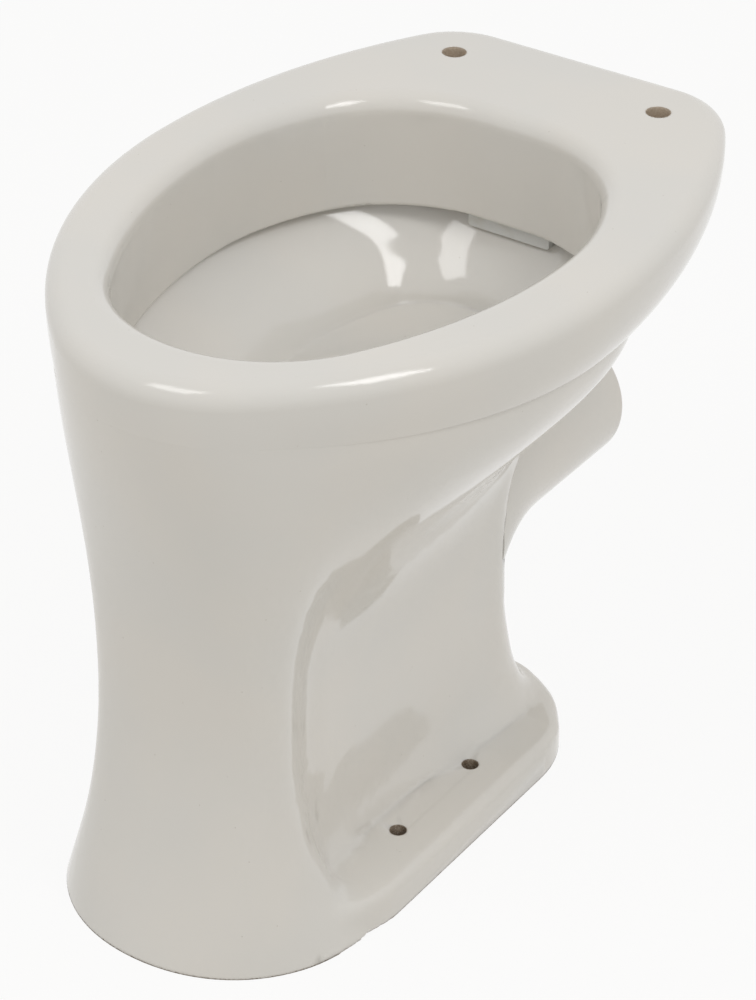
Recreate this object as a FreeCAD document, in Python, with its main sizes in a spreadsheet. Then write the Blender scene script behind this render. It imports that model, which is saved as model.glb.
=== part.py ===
import FreeCAD, Part
import math
import os

# Floor-standing washout toilet pan, built from the clay castings that are luted together before firing.
# Millimetres, +Z up, -Y is the front, the origin lies on the floor under the middle of the outline.

doc = FreeCAD.newDocument("washout_pan")
sheet = doc.addObject("Spreadsheet::Sheet", "sizes")

SIZES = [
    ("pan_depth", 510, "toe to back edge"),
    ("pan_height", 415, "floor to top of rim"),
    ("rim_width", 350, "widest part of the rim"),
    ("toe_lead", 5, "toe ahead of the rim front"),
    ("rim_nose_radius", 103, "plan radius of the rim front"),
    ("rim_corner_radius", 55, "plan radius of the deck corners"),
    ("deck_edge", 140, "straight back edge of the deck"),
    ("rim_edge_radius", 13, "rounding of the outer top edge"),
    ("rim_plate", 13, "thickness of rim top and deck"),
    ("rim_shell", 12, "outer wall of the rim"),
    ("rim_depth", 61, "rim top to the seam at mid length"),
    ("seam_margin", 10, "rim and flush channel run past the seam before they are trimmed"),
    ("front_lean_drop", 13, "rim top to where the front of the rim wall starts to lean in"),
    ("front_lean_radius", 260, "curve of the rim wall at the front"),
    ("side_lean_drop", 13, "the same at the sides"),
    ("side_lean_radius", 68, "curve of the rim wall at the sides"),
    ("back_lean_drop", 17, "the same at the back"),
    ("back_lean_radius", 72, "curve of the rim wall at the back"),
    ("crease_step", 2.5, "body set in under the rim at the sides"),
    ("rim_front_band", 51.5, "rim front to the opening"),
    ("rim_side_band", 48.5, "rim side to the opening"),
    ("opening_setback", 107, "back edge to the opening"),
    ("opening_back_flat", 16, "half of the straight back of the opening"),
    ("opening_edge_radius", 12, "rounding of the inner top edge"),
    ("inner_wall_drop", 80, "inner rim wall below the rim top"),
    ("inner_wall_draft", 3, "inner rim wall leans out by this"),
    ("inner_wall_lip", 2.5, "rounding of its lower edge"),
    ("inner_wall", 6, "thickness of the inner rim wall"),
    ("channel_corner_radius", 60, "plan radius of the back corners of the flush channel"),
    ("channel_back_flat", 45, "half of the straight back of the flush channel"),
    ("pocket_wall", 30, "deck wall around the nut pockets under the seat holes"),
    ("pocket_rib", 6, "web between the nut pockets and the body or the socket"),
    ("seat_hole_spacing", 155, "seat hinge holes centre to centre"),
    ("seat_hole_diameter", 16, "seat hinge holes"),
    ("seat_hole_setback", 45, "back edge to seat hinge holes"),
    ("body_setback", 76, "back edge to the back of the body"),
    ("belly_corner_radius", 88, "plan radius of the back corners of the belly at the seam"),
    ("belly_back_flat", 20, "half of the straight back of the belly at the seam"),
    ("body_wall", 9, "body casting wall"),
    ("body_lip", 4, "body casting wall at the seam"),
    ("basin_lip", 4.5, "basin wall at the seam"),
    ("basin_wall", 8, "basin wall"),
    ("skirt_half_width", 68, "half width of the front skirt at the waist"),
    ("neck_round", 34, "length of the rounded back of the pedestal"),
    ("foot_width", 219, "foot across the ledges"),
    ("foot_inset", 4, "floor edge of the skirt inside the foot width"),
    ("foot_corner_radius", 80, "plan radius of the back corners of the foot"),
    ("foot_front_radius", 90, "plan radius of the front corners of the foot plate, hidden in the skirt"),
    ("foot_edge_radius", 7, "rounding of the ledge edge"),
    ("foot_wall", 11, "side wall of the foot"),
    ("heel_margin", 2.6, "back of the pedestal to the rounded edge of the ledge behind it"),
    ("heel_height", 130, "height where the back of the pedestal starts to flare into the ledge"),
    ("web_flare", 26, "flare of the sides of the pedestal into the ledges"),
    ("web_flare_height", 60, "height where that flare starts"),
    ("ledge_height", 25, "foot ledge above the floor"),
    ("ledge_plate", 13, "thickness of the ledge at the holes"),
    ("floor_hole_width", 160, "floor holes across"),
    ("floor_hole_pitch", 85, "floor holes front to back"),
    ("floor_hole_diameter", 11, "floor holes"),
    ("shelf_half_width", 71, "half width of the washout shelf"),
    ("shelf_nose_radius", 50, "plan radius of the front of the bowl floor"),
    ("shelf_corner_radius", 50, "plan radius of its back corners"),
    ("shelf_back_flat", 10, "half of its straight back"),
    ("well_depth", 51, "shelf down to the joint with the trap"),
    ("funnel_depth", 24, "height of the widened mouth of the drop hole"),
    ("funnel_spread", 20, "widening of that mouth"),
    ("trap_bore", 72, "waterway of the trap"),
    ("trap_wall", 8, "wall of the trap"),
    ("trap_clearance", 4, "room between the trap and the pedestal wall"),
    ("bend_room", 4, "inside radius of the trap bends"),
    ("weir_rise", 10, "axis of the trap over the weir above the outlet axis"),
    ("outlet_diameter", 102, "outside of the outlet"),
    ("outlet_wall", 8, "wall of the outlet"),
    ("outlet_setback", 20, "back edge to the end of the outlet"),
    ("outlet_end_round", 2, "rounded end of the outlet"),
    ("root_stand", 0.4, "root of the outlet stands out of the pedestal on each side"),
    ("root_flare", 50, "root of the outlet deeper than its end"),
    ("inlet_bore", 55, "flush pipe socket"),
    ("inlet_wall", 9, "wall of the flush pipe socket"),
    ("inlet_stand", 1.5, "socket stands into the flush channel"),
    ("inlet_depth", 50, "flush pipe goes into the socket by this"),
    ("inlet_shoulder", 3.5, "ledge inside the socket that stops the flush pipe"),
    ("inlet_drop", 49, "rim top to the axis of the socket"),
    ("inlet_setback", 8, "back edge to the mouth of the socket"),
    ("baffle_width", 62, "flush distributor across"),
    ("baffle_bottom", 92, "rim top to the lower edge of the distributor"),
    ("baffle_wall", 2.5, "distributor wall"),
    ("baffle_corner", 2.2, "rounded lower corners of the distributor"),
    ("baffle_reach", 10, "distributor ahead of the socket"),
    ("flange_height", 52, "flange of the distributor against the socket"),
    ("fit_gap", 0.5, "clearance of the distributor collar in the socket"),
    ("overrun", 20, "cutting shapes run past what they cut"),
]
for row, (alias, number, words) in enumerate(SIZES, start=1):
    sheet.set(f"A{row}", words)
    sheet.set(f"B{row}", str(number))
    sheet.setAlias(f"B{row}", alias)
doc.recompute()

# Stations as shares of the depth from the toe, and levels as shares of the height from the floor
PLACES = {
    "rim_widest": 0.521,
    "waist_front": 0.08,
    "skirt_at_waist": 0.137,
    "skirt_at_floor": 0.206,
    "web_at_waist": 0.206,
    "web_at_floor": 0.253,
    "neck_back": 0.70,
    "foot_front": 0.0784,
    "foot_back": 0.747,
    "floor_holes": 0.506,
    "shelf_front": 0.163,
    "shelf_widest": 0.54,
    "shelf_back": 0.757,
    "well": 0.28,
    "weir": 0.64,
    "outlet_round": 0.794,
}
HEIGHTS = {"waist": 0.386, "outlet": 0.417, "shelf": 0.672, "trap_floor": 0.2}


def size(alias):
    return float(sheet.get(alias))


def vec(x, y, z):
    return FreeCAD.Vector(x, y, z)


top = size("pan_height")
back_edge = size("pan_depth") / 2
toe = -size("pan_depth") / 2


def station(place):
    return toe + size("pan_depth") * PLACES[place]


def along(place):
    """The same station as a formula in the sheet's names."""
    return f"sizes.pan_depth * ({PLACES[place]} - 0.5)"


def upto(place):
    """A level as a formula in the sheet's names."""
    return f"sizes.pan_height * {HEIGHTS[place]}"


# Plan outlines: the right half runs from the front centre to the back centre, the left half mirrors it.
# Every outline is walked in equal strides, so that its points answer those of the other outlines.

STRIDES = 24


def steps(first, last, count=24):
    return [first + (last - first) * i / count for i in range(count)]


def ease(share):
    share = min(max(share, 0.0), 1.0)
    return share * share * (3 - 2 * share)


def between(one, other, share):
    return one + (other - one) * share


def arcs(front, back, half, widest, nose, corner, flat):
    """Tangent arcs of an egg with a straight back edge: half nose, flank, quarter and corner of the right side.

    Each arc is centre x, centre y, radius, first and last angle; the back edge runs from flat to -flat.
    """
    run = widest - front - nose
    flank = (half ** 2 + run ** 2 - nose ** 2) / (2 * (half - nose))
    turn = math.atan2(flank - half, run) - math.pi / 2
    side = half - flat
    rear = back - corner - widest
    quarter = (side ** 2 + rear ** 2 - corner ** 2) / (2 * (side - corner))
    swing = math.atan2(rear, quarter - side)
    return [(0.0, front + nose, nose, -math.pi / 2, turn),
            (half - flank, widest, flank, turn, 0.0),
            (half - quarter, widest, quarter, 0.0, swing),
            (flat, back - corner, corner, swing, math.pi / 2)]


def egg(*sizes):
    """The egg as points."""
    right = []
    for cx, cy, radius, first, last in arcs(*sizes):
        right += [(cx + radius * math.cos(t), cy + radius * math.sin(t)) for t in steps(first, last)]
    flat, back = sizes[6], sizes[1]
    return walk(right + [(flat, back), (0.0, back)])


def egg_wire(sizes, z, offset=0.0):
    """The egg as true arcs at one height, moved inwards by the offset."""
    nose, flank, quarter, corner = arcs(*sizes)

    def bow(arc, mirrored=False, whole=False):
        cx, cy, radius, first, last = arc
        if mirrored:
            cx, first, last = -cx, math.pi - last, math.pi - first
        if whole:
            first = -math.pi - last
        circle = Part.Circle(vec(cx, cy, z), vec(0, 0, 1), radius - offset)
        return Part.ArcOfCircle(circle, first, last).toShape()

    right = [bow(flank), bow(quarter), bow(corner)]
    left = [bow(corner, True), bow(quarter, True), bow(flank, True)]
    edge_y = sizes[1] - offset
    edge = Part.makeLine(vec(sizes[6], edge_y, z), vec(-sizes[6], edge_y, z))
    return Part.Wire([bow(nose, whole=True)] + right + [edge] + left)


def egg_loft(sizes, levels, ruled=False):
    """Solid through the egg at several heights, levels are pairs of height and inward offset."""
    return Part.makeLoft([egg_wire(sizes, z, offset) for z, offset in levels], True, ruled)


BACK_FLAT = 0.25


def keyhole(front, skirt_half, skirt_y, blunt, web_half, web_y, back, depth):
    """Blunt front skirt that steps in softly to a narrow web with a rounded back."""
    power = 2 / blunt
    right = [(skirt_half * math.sin(t) ** power, skirt_y - (skirt_y - front) * math.cos(t) ** power)
             for t in steps(0, math.pi / 2)]
    right += [(between(skirt_half, web_half, ease(t)), between(skirt_y, web_y, t)) for t in steps(0, 1)]
    right += [(web_half, y) for y in steps(web_y, back - depth)]
    flat = BACK_FLAT * web_half
    right += [(flat + (web_half - flat) * math.cos(t), back - depth + depth * math.sin(t))
              for t in steps(0, math.pi / 2)]
    return walk(right + [(flat, back), (0.0, back)])


def walk(right):
    """Equal strides along the right half, then the mirrored left half."""
    marks = [0.0]
    for (x0, y0), (x1, y1) in zip(right, right[1:]):
        marks.append(marks[-1] + math.hypot(x1 - x0, y1 - y0))
    even = [right[0]]
    leg = 0
    for i in range(1, STRIDES):
        goal = marks[-1] * i / STRIDES
        while marks[leg + 1] < goal:
            leg += 1
        share = (goal - marks[leg]) / (marks[leg + 1] - marks[leg])
        even.append(tuple(between(a, b, share) for a, b in zip(right[leg], right[leg + 1])))
    even.append(right[-1])
    return even + [(-x, y) for x, y in reversed(even[1:-1])]


def inset(outline, distance):
    """The outline moved inwards along its normals, by one distance or one for each point."""
    distances = distance if isinstance(distance, list) else [distance] * len(outline)
    moved = []
    for i, ((x, y), distance) in enumerate(zip(outline, distances)):
        bx, by = outline[i - 1]
        ax, ay = outline[(i + 1) % len(outline)]
        long = math.hypot(ax - bx, ay - by)
        moved.append((x - (ay - by) / long * distance, y + (ax - bx) / long * distance))
    return moved


def blend(one, other, share):
    """Point by point from one outline to the other, by one share or one for each point."""
    shares = share if isinstance(share, list) else [share] * len(one)
    return [(between(a[0], b[0], share), between(a[1], b[1], share)) for a, b, share in zip(one, other, shares)]


def section(outline, level):
    """Closed smooth wire, level is a height or a rule that gives the height from y."""
    points = [vec(x, y, level(y) if callable(level) else level) for x, y in outline]
    curve = Part.BSplineCurve()
    curve.interpolate(Points=points, PeriodicFlag=True, Parameters=[float(i) for i in range(2 * STRIDES + 1)])
    return Part.Wire([curve.toShape()])


def loft(sections):
    return Part.makeLoft([section(outline, level) for outline, level in sections], True, False)


def form(name, shape):
    feature = doc.addObject("Part::Feature", name)
    feature.Shape = shape
    return feature


def cylinder(name, radius, height, base, axis=(0, 0, 1)):
    """Round primitive: radius and height are formulas in the sheet's names, base is its foot point."""
    feature = doc.addObject("Part::Cylinder", name)
    feature.setExpression("Radius", radius)
    feature.setExpression("Height", height)
    turn = FreeCAD.Rotation(vec(0, 0, 1), vec(*axis))
    feature.Placement = FreeCAD.Placement(vec(0, 0, 0), turn)
    for letter, formula in zip("xyz", base):
        feature.setExpression(f"Placement.Base.{letter}", formula)
    return feature


def cone(name, radius, spread, height, base):
    """Upright cone that widens upwards by the spread, given by formulas like the cylinder."""
    feature = doc.addObject("Part::Cone", name)
    feature.setExpression("Radius1", radius)
    feature.setExpression("Radius2", f"{radius} + {spread}")
    feature.setExpression("Height", height)
    for letter, formula in zip("xyz", base):
        feature.setExpression(f"Placement.Base.{letter}", formula)
    return feature


def box(name, lengths, base):
    """Block primitive: lengths and base are formulas in the sheet's names."""
    feature = doc.addObject("Part::Box", name)
    for side, formula in zip(("Length", "Width", "Height"), lengths):
        feature.setExpression(side, formula)
    for letter, formula in zip("xyz", base):
        feature.setExpression(f"Placement.Base.{letter}", formula)
    return feature


def cut(name, base, tool):
    feature = doc.addObject("Part::Cut", name)
    feature.Base = base
    feature.Tool = tool
    feature.Refine = False
    return feature


def fuse(name, shapes):
    feature = doc.addObject("Part::MultiFuse", name)
    feature.Shapes = shapes
    feature.Refine = False
    return feature


def common(name, shapes):
    feature = doc.addObject("Part::MultiCommon", name)
    feature.Shapes = shapes
    feature.Refine = False
    return feature


def rounded(name, base, edges):
    """Fillets on numbered edges, edges are pairs of number and radius."""
    feature = doc.addObject("Part::Fillet", name)
    feature.Base = base
    feature.Edges = [(number, radius, radius) for number, radius in edges]
    return feature


def circles(shape, radius, axis, place):
    """Numbers of the full circles of one radius whose centre lies at a place along an axis."""
    found = []
    for number, edge in enumerate(shape.Edges, start=1):
        ring = edge.Curve
        if isinstance(ring, Part.Circle) and abs(ring.Radius - radius) < 0.01:
            if abs(getattr(ring.Center, axis) - place) < 0.01:
                found.append(number)
    return found


# Rim wall: upright below the rounded top edge, then curving in towards the seam, least at the front
rim_front = toe + size("toe_lead")
rim_half = size("rim_width") / 2
widest = station("rim_widest")
body_back = back_edge - size("body_setback")
plate_under = top - size("rim_plate")
lip = size("body_lip") + size("basin_lip")
SEAM_RISE = 0.1


def seam_z(y):
    """The seam between rim and body lies in a plane that rises towards the front."""
    return top - size("rim_depth") - SEAM_RISE * y


def lean(place, z):
    drop = max(top - size(f"{place}_lean_drop") - z, 0.0)
    return drop ** 2 / (2 * size(f"{place}_lean_radius"))


def rim_at(z):
    """Sizes of the rim outline at one height."""
    return (rim_front + lean("front", z), back_edge - lean("back", z), rim_half - lean("side", z), widest,
            size("rim_nose_radius") - lean("front", z), size("rim_corner_radius") - lean("back", z),
            size("deck_edge") / 2)


# Outline of the body at the seam
CREASE_START, CREASE_RUN = 1.1, 0.7


def seam_front():
    """Right front part: flush with the rim at the nose, then set in under it along the flank."""
    points = []
    for part in (0, 1):
        for share in steps(0, 1):
            y = rim_front
            for _ in range(5):
                cx, cy, radius, first, last = arcs(*rim_at(seam_z(y)))[part]
                turn = between(first, last, share)
                reach = radius - size("crease_step") * ease((part + share - CREASE_START) / CREASE_RUN)
                y = cy + reach * math.sin(turn)
            points.append((cx + reach * math.cos(turn), y))
    return points


def seam_rear():
    """Right rear part, rounder than the deck above it."""
    half = rim_half - lean("side", seam_z(widest)) - size("crease_step")
    arc_pair = arcs(rim_front, body_back, half, widest, size("rim_nose_radius"),
                    size("belly_corner_radius"), size("belly_back_flat"))[2:]
    return [(cx + radius * math.cos(t), cy + radius * math.sin(t))
            for cx, cy, radius, first, last in arc_pair for t in steps(first, last)]


body_seam = walk(seam_front() + seam_rear() + [(size("belly_back_flat"), body_back), (0.0, body_back)])
mouth = inset(body_seam, lip)

# Way of the trap: down leg, lower bend, rising leg, upper bend and the fall into the outlet
trap_radius = size("trap_bore") / 2 + size("trap_wall")
web_half = trap_radius + size("trap_clearance") + size("body_wall")
outlet_z = top * HEIGHTS["outlet"]
shelf_z = top * HEIGHTS["shelf"]
well_y = station("well")
well_z = shelf_z - size("well_depth")
FALL = math.radians(25)
bend = trap_radius + size("bend_room")
low_y, low_z = well_y + bend, top * HEIGHTS["trap_floor"] + bend
high_y, high_z = station("weir"), outlet_z + size("weir_rise") - bend
apart = math.hypot(high_y - low_y, high_z - low_z)
climb = math.atan2(high_z - low_z, high_y - low_y) + math.asin(2 * bend / apart)


def on_low(t):
    return vec(0, low_y - bend * math.cos(t), low_z - bend * math.sin(t))


def on_high(t):
    return vec(0, high_y - bend * math.sin(t), high_z + bend * math.cos(t))


fall_start = on_high(-FALL)
fall_end = fall_start + vec(0, math.cos(FALL), -math.sin(FALL)) * ((fall_start.z - outlet_z) / math.sin(FALL))
leg_start = on_low(math.pi / 2 + climb)
path = Part.Wire([
    Part.makeLine(vec(0, well_y, well_z), on_low(0)),
    Part.Arc(on_low(0), on_low((math.pi / 2 + climb) / 2), leg_start).toShape(),
    Part.makeLine(leg_start, on_high(climb)),
    Part.Arc(on_high(climb), on_high(0), fall_start).toShape(),
    Part.makeLine(fall_start, fall_end),
])


def pipe(radius):
    ring = Part.Wire([Part.makeCircle(radius, vec(0, well_y, well_z), vec(0, 0, -1))])
    return path.makePipe(Part.Face(ring))


trap_outside = form("trap_outside", pipe(trap_radius))
trap_waterway = form("trap_waterway", pipe(size("trap_bore") / 2))

# Outside of the outlet: a horn whose root lies flush in the pedestal, then a round spigot
outlet_radius = size("outlet_diameter") / 2
ROOT_SHARES = [0, 0.2, 0.4, 0.6, 0.8, 1]
ROOT_BACK = 0.8
root_y = station("neck_back") - ROOT_BACK * size("neck_round")
root_formula = f"({along('neck_back')} - {ROOT_BACK} * sizes.neck_round)"
back_share = between(BACK_FLAT, 1, math.sqrt(1 - (1 - ROOT_BACK) ** 2))
root_half = back_share * web_half + size("root_stand")


def horn_section(share):
    """Upright ellipse, wider and deeper towards the root."""
    rest = 1 - share
    half = between(outlet_radius, root_half, rest ** 2)
    drop = size("root_flare") * rest ** 3
    shape = FreeCAD.Matrix()
    shape.scale(half, 1.0, outlet_radius + drop / 2)
    shape.move(0, between(root_y, station("outlet_round"), share), outlet_z - drop / 2)
    return Part.Wire([Part.makeCircle(1, vec(0, 0, 0), vec(0, 1, 0)).transformGeometry(shape)])


horn_root = form("horn_root", Part.makeLoft([horn_section(share) for share in ROOT_SHARES], True, False))
spigot = cylinder("spigot", "sizes.outlet_diameter / 2",
                  f"sizes.pan_depth / 2 - sizes.outlet_setback - {along('outlet_round')}",
                  ("0", along("outlet_round"), upto("outlet")), (0, 1, 0))
outlet_outside = fuse("outlet_outside", [horn_root, spigot])

# Seat of the flush pipe socket
chamber_y = "(sizes.pan_depth / 2 - sizes.body_setback - sizes.body_lip - sizes.basin_lip)"
socket_y = f"({chamber_y} - sizes.inlet_stand)"
socket_length = f"(sizes.pan_depth / 2 - sizes.inlet_setback - {socket_y})"
socket_z = "sizes.pan_height - sizes.inlet_drop"
socket_place = ("0", socket_y, socket_z)
socket_radius = "sizes.inlet_bore / 2 + sizes.inlet_wall"
socket_tool = cylinder("socket_tool", socket_radius, f"{socket_length} + sizes.overrun", socket_place, (0, 1, 0))

# Body casting: front skirt, web and belly in one shell
foot_half = size("foot_width") / 2
waist_z = top * HEIGHTS["waist"]
WAIST_BLUNT, FLOOR_BLUNT = 3.0, 2.1
waist = keyhole(station("waist_front"), size("skirt_half_width"), station("skirt_at_waist"), WAIST_BLUNT,
                web_half, station("web_at_waist"), station("neck_back"), size("neck_round"))
HEEL_START, HEEL_RUN = 0.55, 0.25
heel_right = [ease((i / STRIDES - HEEL_START) / HEEL_RUN) for i in range(STRIDES + 1)]
heel = heel_right + heel_right[-2:0:-1]
heel_reach = station("foot_back") - size("foot_edge_radius") - size("heel_margin") - station("neck_back")
TOE_POWER, SKIRT_POWER = 1.75, 2.6
SWELL_POWER = 1.2
NOSE_END, FLANK_END, FLANK_RUN = 0.8, 0.1, 0.4
ends_right = [between(NOSE_END, FLANK_END, ease(i / STRIDES / FLANK_RUN)) for i in range(STRIDES + 1)]
ends = ends_right + ends_right[-2:0:-1]


def swell(share, end):
    """Growth from the waist to the seam: slow at the waist, at the seam it still opens with the end slope."""
    warped = share ** SWELL_POWER
    return (3 - end) * warped ** 2 - (2 - end) * warped ** 3


def body_section(share):
    """Section of the body, share runs from -1 at the floor through 0 at the waist to 1 at the seam."""
    if share > 0:
        outline = blend(waist, body_seam, [swell(share, end) for end in ends])
        return outline, lambda y: between(waist_z, seam_z(y), share)
    z = waist_z * (1 + share)
    low = max(z, size("ledge_height"))
    flare = abs(share) ** SKIRT_POWER
    outline = keyhole(
        between(station("waist_front"), toe, abs(share) ** TOE_POWER),
        between(size("skirt_half_width"), foot_half - size("foot_inset"), flare),
        between(station("skirt_at_waist"), station("skirt_at_floor"), flare),
        between(WAIST_BLUNT, FLOOR_BLUNT, flare),
        web_half + size("web_flare") * max(0.0, 1 - low / size("web_flare_height")) ** 2,
        between(station("web_at_waist"), station("web_at_floor"), flare),
        station("neck_back"), size("neck_round"))
    start = size("heel_height")
    kick = heel_reach * max(0.0, (start - low) / (start - size("ledge_height"))) ** 2
    return inset(outline, [-kick * weight for weight in heel]), lambda y: z


LEVELS = [-1, -0.91, -0.82, -0.72, -0.56, -0.3, 0, 0.12, 0.24, 0.36, 0.48, 0.6, 0.72, 0.86, 1]


THIN_START, THIN_RUN = 0.45, 0.4


def wall_at(share):
    """The wall gets thinner towards the seam, where the basin lines it."""
    return between(size("body_wall"), size("body_lip"), ease((share - THIN_START) / THIN_RUN))


outer = [body_section(share) for share in LEVELS]
inner = [(inset(outline, wall_at(share)), level) for (outline, level), share in zip(outer, LEVELS)]
inner[0] = (inner[0][0], -size("seam_margin"))
inner.append((inner[-1][0], lambda y: seam_z(y) + size("seam_margin")))
body_form = form("body_form", loft(outer))
hollow_form = form("hollow_form", loft(inner))


# Foot with two ledges and four floor holes
def foot_plate(margin, low, high):
    """Plate with straight sides, round back corners and front corners that tuck into the skirt."""
    half = foot_half - margin
    front = station("foot_front") + margin
    rear = station("foot_back") - margin

    def corner(side, y, radius, start):
        turns = [start + math.pi / 4 * i for i in range(3)]
        points = [vec(side * (half - radius) + radius * math.cos(t), y + radius * math.sin(t), low) for t in turns]
        return Part.Arc(*points).toShape(), points[0], points[2]

    tuck = size("foot_front_radius") - margin
    turn = size("foot_corner_radius") - margin
    corners = [corner(1, front + tuck, tuck, -math.pi / 2), corner(1, rear - turn, turn, 0),
               corner(-1, rear - turn, turn, math.pi / 2), corner(-1, front + tuck, tuck, math.pi)]
    edges = []
    for (arc, first, last), (_, following, _) in zip(corners, corners[1:] + corners[:1]):
        edges += [arc, Part.makeLine(last, following)]
    return Part.Face(Part.Wire(edges)).extrude(vec(0, 0, high - low))


plate = foot_plate(0, 0, size("ledge_height"))
ledge_edges = [edge for edge in plate.Edges if edge.BoundBox.ZMin > size("ledge_height") - 0.01]
foot_form = form("foot_form", plate.makeFillet(size("foot_edge_radius"), ledge_edges))
foot_hollow = form("foot_hollow", foot_plate(size("foot_wall"), -size("seam_margin"),
                                             size("ledge_height") - size("ledge_plate")))

hole_tools = []
for side, hand in ((-1, "left"), (1, "right")):
    hole_x = f"{side} * sizes.floor_hole_width / 2"
    for name, step in (("rear", "0"), ("front", "sizes.floor_hole_pitch")):
        hole_y = f"{along('floor_holes')} - {step}"
        hole_tools.append(cylinder(f"floor_hole_{name}_{hand}", "sizes.floor_hole_diameter / 2",
                                   "sizes.ledge_height + 2 * sizes.overrun", (hole_x, hole_y, "-sizes.overrun")))

body_solid = fuse("body_solid", [body_form, foot_form])
body_voids = fuse("body_voids", [hollow_form, foot_hollow] + hole_tools)
body_shell = cut("body_shell", body_solid, body_voids)
body_open = cut("body_open", body_shell, fuse("outlet_seat", [outlet_outside, trap_outside]))
pedestal = cut("pedestal", body_open, socket_tool)
pedestal.Label = "pedestal_shell"

# Basin casting: bowl wall, washout shelf and the drop hole to the trap
shelf = egg(station("shelf_front"), station("shelf_back"), size("shelf_half_width"), station("shelf_widest"),
            size("shelf_nose_radius"), size("shelf_corner_radius"), size("shelf_back_flat"))
BOWL = [0, 0.07, 0.2, 0.4, 0.65, 0.85, 1]
shelf_share = (shelf_z - waist_z) / (seam_z(0) - waist_z)


def basin_section(share, grow, sink):
    """Section of the bowl, which lines the body at the seam and draws in to the shelf below."""
    body_share = between(shelf_share, 1, share)
    lining = inset(body_section(body_share)[0], wall_at(body_share) + size("basin_lip"))
    outline = inset(blend(shelf, lining, 1 - (1 - share) ** 2), -grow)
    return outline, lambda y: between(shelf_z - sink, seam_z(y), share)


basin_inside = [basin_section(share, 0, 0) for share in BOWL]
basin_inside.append((mouth, lambda y: seam_z(y) + size("seam_margin")))
basin_outside = [basin_section(share, size("basin_wall"), size("basin_wall")) for share in BOWL]
basin_form = form("basin_form", loft(basin_outside))
basin_hollow = form("basin_hollow", loft(basin_inside))

well_low = f"({upto('shelf')} - sizes.well_depth)"
well_place = ("0", along("well"), well_low)
trap_round = "sizes.trap_bore / 2 + sizes.trap_wall"
well_form = cylinder("well_form", trap_round, "sizes.well_depth - sizes.basin_wall / 2", well_place)
well_bore = cylinder("well_bore", "sizes.trap_bore / 2", "sizes.well_depth + sizes.basin_wall / 2", well_place)
funnel_level = f"{upto('shelf')} - sizes.funnel_depth"
funnel_bore = cone("funnel_bore", "sizes.trap_bore / 2", "sizes.funnel_spread", "sizes.funnel_depth + sizes.fit_gap",
                   ("0", along("well"), funnel_level))
funnel_form = cone("funnel_form", trap_round, "sizes.funnel_spread", "sizes.funnel_depth",
                   ("0", along("well"), f"{funnel_level} - sizes.basin_wall / 2"))
basin_solid = fuse("basin_solid", [basin_form, well_form, funnel_form])
basin_block = common("basin_block", [basin_solid, hollow_form])
basin_voids = fuse("basin_voids", [basin_hollow, well_bore, funnel_bore])
basin_shell = cut("basin_shell", basin_block, basin_voids)
basin = cut("basin", basin_shell, socket_tool)
basin.Label = "bowl_basin"

# Trap casting
trap_voids = fuse("trap_voids", [trap_waterway, outlet_outside])
trap = cut("trap", trap_outside, trap_voids)
trap.Label = "trap_siphon"

# Outlet casting: closed at its root, where the trap falls in through its top
outlet_bore = cylinder("outlet_bore", "sizes.outlet_diameter / 2 - sizes.outlet_wall",
                       f"sizes.pan_depth / 2 - {root_formula}",
                       ("0", f"{root_formula} + sizes.outlet_wall", upto("outlet")), (0, 1, 0))
outlet_plain = cut("outlet_plain", outlet_outside, fuse("outlet_voids", [outlet_bore, trap_waterway]))
doc.recompute()
outlet = rounded("outlet", outlet_plain, [
    (number, size("outlet_end_round"))
    for number in circles(outlet_plain.Shape, outlet_radius, "y", back_edge - size("outlet_setback"))])
outlet.Label = "outlet_spigot"


# Rim casting: box rim open below, with the deck for the seat
def crown(radius):
    """Quarter-round edge up to the rim top as pairs of height and inward offset."""
    turns = [math.radians(18) * i for i in range(6)]
    return [(top - radius + radius * math.sin(t), radius * (1 - math.cos(t))) for t in turns]


RIM = rim_at(top)
rim_foot = seam_z(back_edge - lean("back", seam_z(back_edge))) - size("seam_margin") / 4
crown_foot = top - size("rim_edge_radius")
wall_levels = steps(rim_foot, crown_foot, 6) + [crown_foot]
rim_wall = form("rim_wall", Part.makeLoft([egg_wire(rim_at(z), z) for z in wall_levels], True, False))
rim_crown = form("rim_crown", egg_loft(RIM, crown(size("rim_edge_radius"))))
rim_block = fuse("rim_block", [rim_wall, rim_crown])
seam_block = Part.makeBox(2 * size("rim_width"), 2 * size("pan_depth"), top, vec(-size("rim_width"), 2 * toe, -top))
seam_tool = form("seam_tool", seam_block)
seam_tilt = FreeCAD.Rotation(vec(1, 0, 0), -math.degrees(math.atan(SEAM_RISE)))
seam_tool.Placement = FreeCAD.Placement(vec(0, 0, seam_z(0)), seam_tilt)
rim_form = cut("rim_form", rim_block, seam_tool)

shell = size("rim_shell")
channel_top = egg(rim_front + shell, body_back - lip, rim_half - shell, widest, size("rim_nose_radius") - shell,
                  size("channel_corner_radius"), size("channel_back_flat"))
CHANNEL_RISE, CHANNEL_SPREAD = 0.45, 0.7
channel_form = form("channel_form", loft([
    (mouth, lambda y: seam_z(y) - size("seam_margin")),
    (mouth, seam_z),
    (blend(mouth, channel_top, CHANNEL_SPREAD), lambda y: between(seam_z(y), plate_under, CHANNEL_RISE)),
    (channel_top, plate_under),
]))

pocket_block = egg_loft(RIM, [(rim_foot - size("overrun"), size("pocket_wall")),
                              (plate_under, size("pocket_wall"))], True)
pocket_x = size("inlet_bore") / 2 + size("inlet_wall") + size("pocket_rib")
pockets = []
for side, hand in ((-1, "left"), (1, "right")):
    corner_x = pocket_x if side > 0 else -pocket_x - rim_half
    chunk = Part.makeBox(rim_half, back_edge, top, vec(corner_x, body_back + size("pocket_rib"), 0))
    pockets.append(form(f"pocket_{hand}", pocket_block.common(chunk)))

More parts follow.
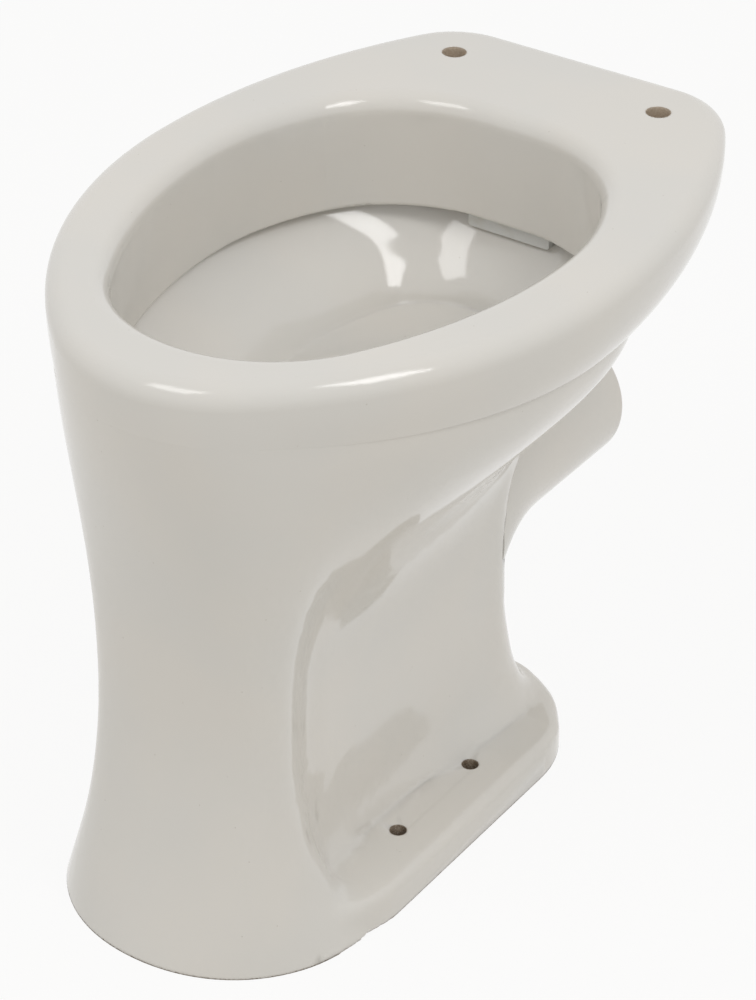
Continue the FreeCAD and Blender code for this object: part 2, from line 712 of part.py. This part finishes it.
opening_back = back_edge - size("opening_setback")
opening_half = rim_half - size("rim_side_band")
OPENING_WIDEST, OPENING_NOSE, OPENING_CORNER = 0.6, 0.76, 0.79
opening_front = rim_front + size("rim_front_band")
opening_widest = between(opening_front, opening_back, OPENING_WIDEST)
OPENING = (opening_front, opening_back, opening_half, opening_widest, OPENING_NOSE * opening_half,
           OPENING_CORNER * min(opening_half, opening_back - opening_widest), size("opening_back_flat"))
wall_low = top - size("inner_wall_drop")


def opening_offset(z):
    return -size("inner_wall_draft") * (top - z) / size("inner_wall_drop")


inner_wall_form = form("inner_wall_form", egg_loft(OPENING, [
    (z, opening_offset(z) - size("inner_wall")) for z in (wall_low, plate_under + size("rim_plate") / 3)], True))
opening_form = form("opening_form", egg_loft(OPENING, [
    (z, opening_offset(z)) for z in (wall_low - size("overrun"), top + size("overrun"))], True))

seat_holes = [cylinder(f"seat_hole_{hand}", "sizes.seat_hole_diameter / 2", "sizes.rim_plate + 2 * sizes.overrun",
                       (f"{side} * sizes.seat_hole_spacing / 2",
                        "sizes.pan_depth / 2 - sizes.seat_hole_setback",
                        "sizes.pan_height - sizes.rim_plate - sizes.overrun"))
              for side, hand in ((-1, "left"), (1, "right"))]
rim_hollows = fuse("rim_hollows", [channel_form] + pockets)
rim_shell = cut("rim_shell", rim_form, rim_hollows)
rim_solid = fuse("rim_solid", [rim_shell, inner_wall_form])
rim_open = cut("rim_open", rim_solid, opening_form)
rim_seated = cut("rim_seated", rim_open, socket_tool)
rim_plain = cut("rim_plain", rim_seated, fuse("seat_holes", seat_holes))
doc.recompute()


def edges_on_opening(shape, z):
    """Numbers of the edges where the opening wall meets a flat face at this height."""
    wire = egg_wire(OPENING, z, opening_offset(z))
    found = []
    for number, edge in enumerate(shape.Edges, start=1):
        middle = edge.valueAt((edge.FirstParameter + edge.LastParameter) / 2)
        if abs(middle.z - z) < 0.01 and wire.distToShape(Part.Vertex(middle))[0] < 0.1:
            found.append(number)
    return found


rim_edges = [(number, size("opening_edge_radius")) for number in edges_on_opening(rim_plain.Shape, top)]
rim_edges += [(number, size("inner_wall_lip")) for number in edges_on_opening(rim_plain.Shape, wall_low)]
rim = rounded("rim", rim_plain, rim_edges)
rim.Label = "rim_ring"

# Flush pipe socket, with a shoulder that stops the pipe
socket_form = cylinder("socket_form", socket_radius, socket_length, socket_place, (0, 1, 0))
socket_bore = cylinder("socket_bore", "sizes.inlet_bore / 2", "sizes.inlet_depth + sizes.overrun",
                       ("0", "sizes.pan_depth / 2 - sizes.inlet_setback - sizes.inlet_depth", socket_z), (0, 1, 0))
collar_seat = cylinder("collar_seat", "sizes.inlet_bore / 2 - sizes.inlet_shoulder", socket_length, socket_place,
                       (0, 1, 0))
socket = cut("socket", socket_form, fuse("socket_way", [socket_bore, collar_seat]))
socket.Label = "flush_inlet_socket"

# Flush distributor: moulded scoop whose collar plugs into the socket
face_y = f"({socket_y} - sizes.baffle_reach)"
low_z = "(sizes.pan_height - sizes.baffle_bottom)"
roof_z = "(sizes.pan_height - sizes.inlet_drop + sizes.inlet_bore / 2 - sizes.baffle_wall)"
half_x = "sizes.baffle_width / 2"
face = box("baffle_face", ("sizes.baffle_width", "sizes.baffle_wall", f"{roof_z} - {low_z}"),
           (f"-{half_x}", face_y, low_z))
roof = box("baffle_roof", ("sizes.baffle_width", "sizes.baffle_reach", "sizes.baffle_wall"),
           (f"-{half_x}", face_y, roof_z))
flange = box("baffle_flange", ("sizes.baffle_width", "sizes.baffle_wall", "sizes.flange_height"),
             (f"-{half_x}", f"{socket_y} - sizes.baffle_wall", f"{roof_z} + sizes.baffle_wall - sizes.flange_height"))
cheeks = [box(f"baffle_cheek_{hand}", ("sizes.baffle_wall", "sizes.baffle_reach / 2", "sizes.baffle_reach * 2"),
              (place, face_y, low_z))
          for hand, place in (("left", f"-{half_x}"), ("right", f"{half_x} - sizes.baffle_wall"))]
collar_place = ("0", f"{socket_y} - sizes.baffle_wall", socket_z)
collar_radius = "(sizes.inlet_bore / 2 - sizes.inlet_shoulder - sizes.fit_gap)"
collar_length = f"{socket_length} - sizes.inlet_depth"
collar = cylinder("baffle_collar", collar_radius, collar_length, collar_place, (0, 1, 0))
collar_bore = cylinder("baffle_bore", f"{collar_radius} - sizes.baffle_wall", collar_length, collar_place, (0, 1, 0))
scoop_solid = fuse("scoop_solid", [face, roof, flange, collar] + cheeks)
scoop_block = cut("scoop_block", scoop_solid, collar_bore)
doc.recompute()
low_corners = [number for number, edge in enumerate(scoop_block.Shape.Edges, start=1)
               if edge.BoundBox.ZMax < top - size("baffle_bottom") + 0.01 and edge.BoundBox.XLength < 0.01
               and abs(edge.BoundBox.XMax) > size("baffle_width") / 2 - 0.1]
scoop = rounded("scoop", scoop_block, [(number, size("baffle_corner")) for number in low_corners])
scoop.Label = "flush_distributor"

doc.recompute()

PARTS = [pedestal, basin, trap, outlet, rim, socket, scoop]
for item in doc.Objects:
    if "Invalid" in item.State or "Error" in item.State:
        raise SystemExit(f"{item.Label} did not compute: {item.State}")
os.makedirs("parts", exist_ok=True)
for item in PARTS:
    if item.Shape.isNull() or not item.Shape.isValid():
        raise SystemExit(f"{item.Label} has no valid shape")
    item.Shape.exportStep(f"parts/{item.Label}.step")
    print(item.Label, len(item.Shape.Solids), round(item.Shape.Volume / 1000, 1), item.Shape.BoundBox)
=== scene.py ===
import math

import bmesh
import bpy
from mathutils import Matrix, Vector


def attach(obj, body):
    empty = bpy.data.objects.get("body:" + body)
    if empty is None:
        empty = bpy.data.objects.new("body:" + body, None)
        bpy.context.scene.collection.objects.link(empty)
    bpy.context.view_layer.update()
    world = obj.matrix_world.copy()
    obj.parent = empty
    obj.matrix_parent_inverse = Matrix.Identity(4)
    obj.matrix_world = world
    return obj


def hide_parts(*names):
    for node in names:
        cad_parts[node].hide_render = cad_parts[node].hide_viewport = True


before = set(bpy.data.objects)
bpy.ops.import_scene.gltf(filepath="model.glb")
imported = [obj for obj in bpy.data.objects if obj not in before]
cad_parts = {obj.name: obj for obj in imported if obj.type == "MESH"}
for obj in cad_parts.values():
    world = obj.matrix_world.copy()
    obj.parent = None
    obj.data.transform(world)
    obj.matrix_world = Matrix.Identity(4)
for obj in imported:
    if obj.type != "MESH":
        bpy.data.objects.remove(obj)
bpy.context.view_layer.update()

# The pedestal is the outer casting of vitreous china: belly, front skirt, web and foot in one wall.
# It is slip cast in a plaster mould, luted to the other castings while wet, then glazed and fired.
# Four floor screws go through its ledges; their holes and the standing edge are left unglazed.


class Value:
    """One output of a node: arithmetic on it adds Math nodes."""

    def __init__(self, paint, socket):
        self.paint = paint
        self.socket = socket

    def math(self, operation, *others):
        """Adds a Math node with this value in its first socket."""
        sockets = {0: self}
        sockets.update(enumerate(others, start=1))
        return self.paint.node("ShaderNodeMath", {"operation": operation}, sockets)

    def __add__(self, other):
        return self.math("ADD", other)

    def __sub__(self, other):
        return self.math("SUBTRACT", other)

    def __rsub__(self, other):
        return self.paint.node("ShaderNodeMath", {"operation": "SUBTRACT"}, {0: other, 1: self})

    def __mul__(self, other):
        return self.math("MULTIPLY", other)

    __radd__ = __add__
    __rmul__ = __mul__


class Paint:
    """The nodes of a material or of the studio's world, and the one way in which they are added."""

    def __init__(self, owner):
        owner.use_nodes = True
        self.owner = owner
        self.tree = owner.node_tree
        self.shader = self.tree.nodes.get("Principled BSDF")

    def node(self, kind, settings=None, sockets=None, output=0):
        """Adds a node, makes its settings, fills its sockets with numbers or links, returns one output."""
        added = self.tree.nodes.new(kind)
        for name, setting in (settings or {}).items():
            setattr(added, name, setting)
        for name, filling in (sockets or {}).items():
            self.fill(added, name, filling)
        return Value(self, added.outputs[output])

    def fill(self, node, name, filling):
        """Links one socket of a node to a value, or sets it to a number or a colour."""
        if isinstance(filling, Value):
            self.tree.links.new(filling.socket, node.inputs[name])
        else:
            node.inputs[name].default_value = filling

    def finish(self, **sockets):
        """Sets or links the sockets of the material's shader."""
        for name, filling in sockets.items():
            self.fill(self.shader, name.replace("_", " "), filling)


def noise(paint, place, scale, detail):
    """Soft random values between 0 and 1, about so many to the metre."""
    return paint.node("ShaderNodeTexNoise", None, {"Vector": place, "Scale": scale, "Detail": detail})


def mixed(paint, share, one, other):
    """The colour between two colours: 6, 7 and output 2 are the Mix node's colour sockets."""
    return paint.node("ShaderNodeMix", {"data_type": "RGBA"}, {0: share, 6: one, 7: other}, output=2)


def ramp(paint, number, low, high):
    """0 below low, 1 above high, smooth between."""
    return paint.node("ShaderNodeMapRange", {"interpolation_type": "SMOOTHSTEP"},
                      {"Value": number, "From Min": low, "From Max": high})


GLAZE_COOL = (0.730, 0.716, 0.682, 1.0)
GLAZE_WARM = (0.755, 0.730, 0.685, 1.0)
COOL_FLOW, WARM_FLOW = 0.3, 0.7
FLOW_SCALE, PEEL_SCALE, GRAIN_SCALE = 9.0, 190.0, 900.0
SPECK_BROWN = (0.36, 0.31, 0.25, 1.0)
SPECK_SCALE, SPECK_SHARE = 70.0, 0.35
SPECK_CORE, SPECK_EDGE, SPECK_FRAY = 0.03, 0.05, 0.02
GLAZE_ROUGHNESS, FLOW_ROUGHNESS, CLAY_ROUGHNESS = 0.05, 0.04, 0.6
FLOW_RELIEF, PEEL_RELIEF, CLAY_RELIEF = 0.7, 0.02, 0.05
RELIEF_STRENGTH, RELIEF_DEPTH = 0.12, 0.004
GLAZE_IOR = 1.6
ROUNDING_SAMPLES = 6
# Bare clay of the floor holes and the standing edge, painted darker than the pale bare body as shade in the
# deep holes and at the floor.
DARK_CLAY_AND_SHADE = ((0.110, 0.075, 0.045, 1.0), (0.300, 0.225, 0.150, 1.0))
HOLE_CLAY_END, HOLE_GLAZE_START, HOLE_FRAY = 0.0002, 0.0009, 0.0006
FOOT_GLAZE_START, FOOT_FRAY = 0.001, 0.002
SEAM_HEIGHT, SEAM_FALL = 0.354, 0.1
SEAM_FLUSH, SEAM_CLEAR = 0.002, 0.006
SPONGED_FRONT, SPONGED_BACK = -0.16, -0.06


def glaze(name, rounding, holes=(), clay=DARK_CLAY_AND_SHADE, hole_top=1.0, bare_below=None):
    """Glossy warm white glaze that rounds the edges by a radius, with bare clay in holes and at the bottom.

    Each upright hole is x, y and radius in metres, up to one top; the clay is its dark and its light tone;
    the default tones are darker than the pale bare body, with painted shade in the holes and along the
    bottom.
    At the front, where rim and body are sponged flush, the edges along their seam stay unrounded.
    """
    paint = Paint(bpy.data.materials.new(name))
    place = paint.node("ShaderNodeTexCoord", output="Object")
    depth = paint.node("ShaderNodeSeparateXYZ", None, {"Vector": place}, output="Y")
    height = paint.node("ShaderNodeSeparateXYZ", None, {"Vector": place}, output="Z")
    flow = noise(paint, place, FLOW_SCALE, detail=2.0)
    peel = noise(paint, place, PEEL_SCALE, detail=1.0)
    grain = noise(paint, place, GRAIN_SCALE, detail=3.0)
    cell = paint.node("ShaderNodeTexVoronoi", None, {"Vector": place, "Scale": SPECK_SCALE})
    speck = 1.0 - ramp(paint, cell + grain * SPECK_FRAY, SPECK_CORE, SPECK_EDGE)
    bare = None
    for x, y, bore in holes:
        away = paint.node("ShaderNodeVectorMath", {"operation": "MULTIPLY_ADD"},
                          {0: place, 1: (1.0, 1.0, 0.0), 2: (-x, -y, 0.0)})
        reach = paint.node("ShaderNodeVectorMath", {"operation": "LENGTH"}, {0: away}, output="Value")
        glazed = ramp(paint, reach + grain * HOLE_FRAY, bore + HOLE_CLAY_END, bore + HOLE_GLAZE_START)
        inside = (1.0 - glazed) * height.math("LESS_THAN", hole_top)
        bare = inside if bare is None else bare.math("MAXIMUM", inside)
    if bare_below is not None:
        under = 1.0 - ramp(paint, height + grain * FOOT_FRAY, bare_below, bare_below + FOOT_GLAZE_START)
        bare = under if bare is None else bare.math("MAXIMUM", under)
    colour = mixed(paint, ramp(paint, flow, COOL_FLOW, WARM_FLOW), GLAZE_COOL, GLAZE_WARM)
    colour = mixed(paint, speck * SPECK_SHARE, colour, SPECK_BROWN)
    roughness = GLAZE_ROUGHNESS + FLOW_ROUGHNESS * flow
    relief = flow * FLOW_RELIEF + peel * PEEL_RELIEF
    # Bare places take the clay tones; the dark default tones paint shade there as well as bare clay.
    if bare is not None:
        colour = mixed(paint, bare, colour, mixed(paint, grain, *clay))
        roughness = roughness + bare * CLAY_ROUGHNESS
        relief = relief + bare * grain * CLAY_RELIEF
    from_seam = (height + depth * SEAM_FALL - SEAM_HEIGHT).math("ABSOLUTE")
    off_seam = ramp(paint, from_seam, SEAM_FLUSH, SEAM_CLEAR)
    behind_front = ramp(paint, depth, SPONGED_FRONT, SPONGED_BACK)
    rounded = paint.node("ShaderNodeBevel", {"samples": ROUNDING_SAMPLES},
                         {"Radius": rounding * off_seam.math("MAXIMUM", behind_front)})
    bump = paint.node("ShaderNodeBump", None, {"Strength": RELIEF_STRENGTH, "Distance": RELIEF_DEPTH,
                                               "Height": relief, "Normal": rounded})
    paint.finish(Base_Color=colour, Roughness=roughness, Normal=bump, IOR=GLAZE_IOR)
    return paint.owner


SHARP_ANGLE = math.radians(40.0)


def add_piece(name, shape, material, node):
    """Makes a bmesh an object that rides on the pan in place of a CAD node."""
    for face in shape.faces:
        face.smooth = True
    mesh = bpy.data.meshes.new(name)
    shape.to_mesh(mesh)
    shape.free()
    mesh.set_sharp_from_angle(angle=SHARP_ANGLE)
    mesh.materials.append(material)
    piece = bpy.data.objects.new(name, mesh)
    bpy.context.collection.objects.link(piece)
    flat_faces = piece.modifiers.new("flat_faces", "WEIGHTED_NORMAL")
    flat_faces.keep_sharp = True
    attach(piece, "root")
    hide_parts(node)


FLOOR_LEVEL = 0.0002
LEDGE_SIDE = 0.045
SKIRT_BLEND = (LEDGE_SIDE, -0.190, -0.095, FLOOR_LEVEL, 0.110)
HEEL_BLEND = (0.0, 0.072, 0.150, 0.010, 0.112)
BLEND_BELOW = 0.006
EDGE_PROBES = (0.0, 0.35, 0.65, 1.0)


def in_blend(place, margin=0.0, bottom_margin=0.0):
    """Whether a place lies where the ledges are sponged into the skirt and the heel, inside a margin.

    Each blend is its distance from the middle of the pan, then its front, back, bottom and top.
    """
    return any(abs(place.x) >= side and front + margin < place.y < back - margin
               and bottom - bottom_margin <= place.z < top - margin
               for side, front, back, bottom, top in (SKIRT_BLEND, HEEL_BLEND))


def crosses_blend(edge):
    """Whether an edge runs through a blend, or through the strip just below it."""
    one, other = (vert.co for vert in edge.verts)
    return any(in_blend(one.lerp(other, share), bottom_margin=BLEND_BELOW) for share in EDGE_PROBES)


MERGE_DISTANCE = 1e-6
LONGEST_EDGE = 0.003
DIVIDE_PASSES = 6
EVEN_ANGLE = 0.1
UNEVEN = 1.0
INWARD_LEAN = -0.1
SPONGE_PRESSURE = 0.5
BLEND_MARGINS = (0.005, 0.009, 0.013)
BLEND_STROKES = 22
NOTCH_PLACE = -0.156
NOTCH_REACHES = (0.007, 0.011, 0.015, 0.019, 0.023)
NOTCH_STROKES = 2
body = bmesh.new()
body.from_mesh(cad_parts["pedestal_shell"].data)
bmesh.ops.remove_doubles(body, verts=body.verts, dist=MERGE_DISTANCE)
# The mesh is divided finely at the ends of the ledges, and its slivers there are evened out.
for _ in range(DIVIDE_PASSES):
    long_edges = [edge for edge in body.edges if edge.calc_length() > LONGEST_EDGE and crosses_blend(edge)]
    bmesh.ops.subdivide_edges(body, edges=long_edges, cuts=1)
    bmesh.ops.triangulate(body, faces=[face for face in body.faces if len(face.verts) > 3])
body.normal_update()
dense = {face for face in body.faces
         if all(in_blend(vert.co, bottom_margin=BLEND_BELOW) for vert in face.verts)}
even = [edge for edge in body.edges
        if dense.issuperset(edge.link_faces) and edge.calc_face_angle(UNEVEN) < EVEN_ANGLE]
bmesh.ops.beautify_fill(body, faces=list(dense), edges=even)
body.normal_update()
# Only the outer side is sponged, first over the whole blend and then further inside it.
outside = [vert for vert in body.verts if vert.normal.x * vert.co.x > INWARD_LEAN * abs(vert.co.x)]
for margin in BLEND_MARGINS:
    sponged = [vert for vert in outside if in_blend(vert.co, margin)]
    for _ in range(BLEND_STROKES):
        bmesh.ops.smooth_vert(body, verts=sponged, factor=SPONGE_PRESSURE,
                              use_axis_x=True, use_axis_y=True, use_axis_z=True)
# The standing edge has a notch where ledge and skirt meet, which is smoothed along the floor.
standing = [vert for vert in outside if vert.co.z < FLOOR_LEVEL and abs(vert.co.x) > LEDGE_SIDE]
for reach in NOTCH_REACHES:
    near_notch = [vert for vert in standing if abs(vert.co.y - NOTCH_PLACE) < reach]
    for _ in range(NOTCH_STROKES):
        bmesh.ops.smooth_vert(body, verts=near_notch, factor=SPONGE_PRESSURE,
                              use_axis_x=True, use_axis_y=True)

FLOOR_HOLE_X = 0.080
FLOOR_HOLE_Y = (-0.08194, 0.00306)
FLOOR_HOLE_RADIUS = 0.0055
FLOOR_HOLE_TOP = 0.04
BARE_EDGE = 0.001
CASTING_ROUNDING = 0.003
floor_holes = [(side * FLOOR_HOLE_X, y, FLOOR_HOLE_RADIUS) for side in (-1, 1) for y in FLOOR_HOLE_Y]
# The bare clay of the floor holes and the standing edge is dark brown, partly bare clay and partly painted
# shade.
pedestal_glaze = glaze("pedestal_glaze", CASTING_ROUNDING, floor_holes, hole_top=FLOOR_HOLE_TOP,
                       bare_below=BARE_EDGE)
add_piece("pedestal_body", body, pedestal_glaze, "pedestal_shell")

# The trap is a bent tube of china inside the pedestal, from the drop hole up over the weir.
# It is cast by itself and luted between the basin and the outlet; only its mouth can be seen.
TUBE_ROUNDING = 0.002


def dress(node, material):
    """Gives a CAD node its finish."""
    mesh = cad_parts[node].data
    mesh.materials.clear()
    mesh.materials.append(material)


dress("trap_siphon", glaze("trap_glaze", TUBE_ROUNDING))

# The outlet is the round horn of china at the back that takes the pan connector.
# It is luted into the back of the pedestal, and its root is sponged flush before firing.
dress("outlet_spigot", glaze("outlet_glaze", TUBE_ROUNDING))

# The basin is the inner casting of china with the washout shelf and the drop hole.
# It hangs in the body at the seam, and its edges are sponged rounder than the others before glazing.
BASIN_ROUNDING = 0.005
dress("bowl_basin", glaze("basin_glaze", BASIN_ROUNDING))

# The rim is a box casting of china with the deck for the seat, luted on the body along an inclined seam.
# The two hinge holes are punched through the wet clay, so their walls show the pale bare body.
SEAT_HOLE_X = 0.0775
SEAT_HOLE_Y = 0.210
SEAT_HOLE_RADIUS = 0.008
PALE_CLAY = ((0.43, 0.34, 0.25, 1.0), (0.60, 0.50, 0.39, 1.0))
seat_holes = [(side * SEAT_HOLE_X, SEAT_HOLE_Y, SEAT_HOLE_RADIUS) for side in (-1, 1)]
dress("rim_ring", glaze("rim_glaze", CASTING_ROUNDING, seat_holes, PALE_CLAY))

# The flush pipe socket is a short tube of china behind the rim, luted between the deck and the basin.
# A rubber cone seals the flush pipe in it.
dress("flush_inlet_socket", glaze("socket_glaze", TUBE_ROUNDING))

# The flush distributor is a moulded plastic scoop plugged into the socket from inside the rim.
# Its edges are rounded by the mould, its face has a fine grain, and water leaves a dull film on it.
FLAT_ANGLE = math.radians(1.0)
CORNER_ANGLE = math.radians(35.0)
SCOOP_ROUNDING = 0.0006
SCOOP_ROUNDING_STEPS = 3
scoop = bmesh.new()
scoop.from_mesh(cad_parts["flush_distributor"].data)
bmesh.ops.remove_doubles(scoop, verts=scoop.verts, dist=MERGE_DISTANCE)
bmesh.ops.dissolve_limit(scoop, angle_limit=FLAT_ANGLE, verts=scoop.verts, edges=scoop.edges)
corners = [edge for edge in scoop.edges if edge.calc_face_angle(0.0) > CORNER_ANGLE]
bmesh.ops.bevel(scoop, geom=corners, offset=SCOOP_ROUNDING, segments=SCOOP_ROUNDING_STEPS, profile=0.5,
                affect="EDGES", material=-1, clamp_overlap=True)
PLASTIC_WHITE = (0.70, 0.71, 0.70, 1.0)
PLASTIC_DULL = (0.64, 0.63, 0.59, 1.0)
MOULD_SCALE, FILM_SCALE = 1400.0, 60.0
FILM_START, FILM_FULL = 0.45, 0.75
PLASTIC_ROUGHNESS, FILM_ROUGHNESS = 0.24, 0.16
MOULD_STRENGTH, MOULD_DEPTH = 0.15, 0.0003
plastic = Paint(bpy.data.materials.new("distributor_plastic"))
plastic_place = plastic.node("ShaderNodeTexCoord", output="Object")
mould_grain = noise(plastic, plastic_place, MOULD_SCALE, detail=2.0)
film = noise(plastic, plastic_place, FILM_SCALE, detail=3.0)
plastic_colour = mixed(plastic, ramp(plastic, film, FILM_START, FILM_FULL), PLASTIC_WHITE, PLASTIC_DULL)
plastic_bump = plastic.node("ShaderNodeBump", None, {"Strength": MOULD_STRENGTH, "Distance": MOULD_DEPTH,
                                                     "Height": mould_grain})
plastic.finish(Base_Color=plastic_colour, Roughness=PLASTIC_ROUGHNESS + FILM_ROUGHNESS * film,
               Normal=plastic_bump)
add_piece("distributor_scoop", scoop, plastic.owner, "flush_distributor")

# The floor is a plain pale sheet that runs out to the background.
# It shows white to the camera and in reflections, and keeps the pan's soft shadow.
FLOOR_REACH = 6.0
FLOOR_PALE = (0.80, 0.78, 0.74, 1.0)
FLOOR_ROUGHNESS = 0.9
FLOOR_WHITENESS = 0.9
WHITE = (1.0, 1.0, 1.0, 1.0)


def shown_rays(paint):
    """1 for the rays that show a thing straight, mirrored or through glass, 0 for those that light others."""
    straight, mirrored, through = (paint.node("ShaderNodeLightPath", output=ray) for ray in
                                   ("Is Camera Ray", "Is Glossy Ray", "Is Transmission Ray"))
    return (straight + mirrored + through).math("MINIMUM", 1.0)


floor_mesh = bpy.data.meshes.new("floor")
floor_build = bmesh.new()
bmesh.ops.create_grid(floor_build, x_segments=1, y_segments=1, size=FLOOR_REACH)
floor_build.to_mesh(floor_mesh)
floor_build.free()
floor = bpy.data.objects.new("floor", floor_mesh)
bpy.context.collection.objects.link(floor)
pale = Paint(bpy.data.materials.new("pale_floor"))
pale.finish(Base_Color=FLOOR_PALE, Roughness=FLOOR_ROUGHNESS)
matt = Value(pale, pale.shader.outputs[0])
white = pale.node("ShaderNodeEmission", None, {"Color": WHITE, "Strength": 1.0})
sheet = pale.node("ShaderNodeMixShader", None, {0: shown_rays(pale) * FLOOR_WHITENESS, 1: matt, 2: white})
pale.fill(pale.tree.nodes["Material Output"], "Surface", sheet)
floor_mesh.materials.append(pale.owner)

# The studio is a dim white room that shows white behind the pan, with two soft boxes above it.
# The right one and the front one give the pairs of highlights on the rim and in the bowl.
ROOM_TINT = (1.0, 0.985, 0.96, 1.0)
ROOM_LIGHT = 0.61
BOX_DISTANCE = 2.2
BOX_AIM = Vector((0.0, 0.0, 0.36))
studio = Paint(bpy.data.worlds.new("studio"))
bpy.context.scene.world = studio.owner
dim = studio.node("ShaderNodeBackground", None, {"Color": ROOM_TINT, "Strength": ROOM_LIGHT})
bright = studio.node("ShaderNodeBackground", None, {"Color": WHITE, "Strength": 1.0})
room = studio.node("ShaderNodeMixShader", None, {0: shown_rays(studio), 1: dim, 2: bright})
studio.fill(studio.tree.nodes["World Output"], "Surface", room)


def soft_box(name, direction, width, height, watts):
    """A soft box that faces the middle of the rim from one direction."""
    light = bpy.data.lights.new(name, "AREA")
    light.shape = "RECTANGLE"
    light.size = width
    light.size_y = height
    light.energy = watts
    lamp = bpy.data.objects.new(name, light)
    lamp.location = BOX_AIM + Vector(direction).normalized() * BOX_DISTANCE
    lamp.rotation_euler = (lamp.location - BOX_AIM).to_track_quat("Z", "Y").to_euler()
    bpy.context.collection.objects.link(lamp)


soft_box("right_box", direction=(0.596, -0.084, 0.799), width=0.56, height=0.86, watts=8.6)
soft_box("front_box", direction=(-0.13, -0.52, 0.845), width=0.87, height=0.74, watts=7.3)

# The camera stands where the photograph was taken from, to the right and above.
# Its place, turn and lens are fitted to the outline of the pan.
CAMERA_PLACE = Vector((1.0194, -1.5244, 1.3719))
AZIMUTH = math.radians(33.6)
ELEVATION = math.radians(32.513)
ROLL = math.radians(0.802)
LENS, SENSOR_WIDTH = 122.63, 36.0
camera = bpy.data.objects.new("camera", bpy.data.cameras.new("camera"))
camera.data.sensor_width = SENSOR_WIDTH
camera.data.lens = LENS
behind = Vector((math.sin(AZIMUTH) * math.cos(ELEVATION), -math.cos(AZIMUTH) * math.cos(ELEVATION),
                 math.sin(ELEVATION)))
level = Vector((math.cos(AZIMUTH), math.sin(AZIMUTH), 0.0))
upward = behind.cross(level)
across = math.cos(ROLL) * level + math.sin(ROLL) * upward
along = math.cos(ROLL) * upward - math.sin(ROLL) * level
camera.matrix_world = Matrix((across, along, behind)).transposed().to_4x4()
camera.location = CAMERA_PLACE
bpy.context.collection.objects.link(camera)
bpy.context.scene.camera = camera
bpy.context.scene.view_settings.view_transform = "Standard"
